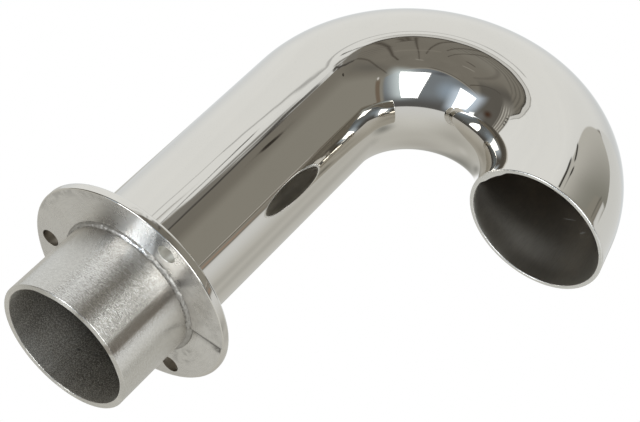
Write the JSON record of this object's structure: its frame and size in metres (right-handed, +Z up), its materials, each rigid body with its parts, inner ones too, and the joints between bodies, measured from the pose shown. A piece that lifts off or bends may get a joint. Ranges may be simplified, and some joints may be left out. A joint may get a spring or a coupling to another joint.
{
  "type": "swan-neck deck cable gland",
  "caption": "Stainless swan-neck tube on a round screw-down flange with a through-deck spigot; leads cables through a deck and sheds water.",
  "frame": {"origin": "on the deck plane, in the middle of the flange, where the spigot's axis passes through it", "axes": "+Z up from the deck along the straight leg, +X towards the mouth, +Y across the bend"},
  "size_m": [0.1536, 0.0768, 0.1989],
  "materials": {
    "polished_tube": "mirror polished stainless steel outside, plain dull inside",
    "turned_flange": "polished top and rim, satin circular brushed underside",
    "satin_spigot": "fine satin brushed round its outside, rough dull inside",
    "raw_weld": "uneven bare weld, ground smooth in one stretch"
  },
  "bodies": {
    "root": {"swan_neck_tube": "polished_tube", "deck_flange": "turned_flange", "deck_spigot": "satin_spigot", "weld_bead": "raw_weld"}
  },
  "joints": []
}
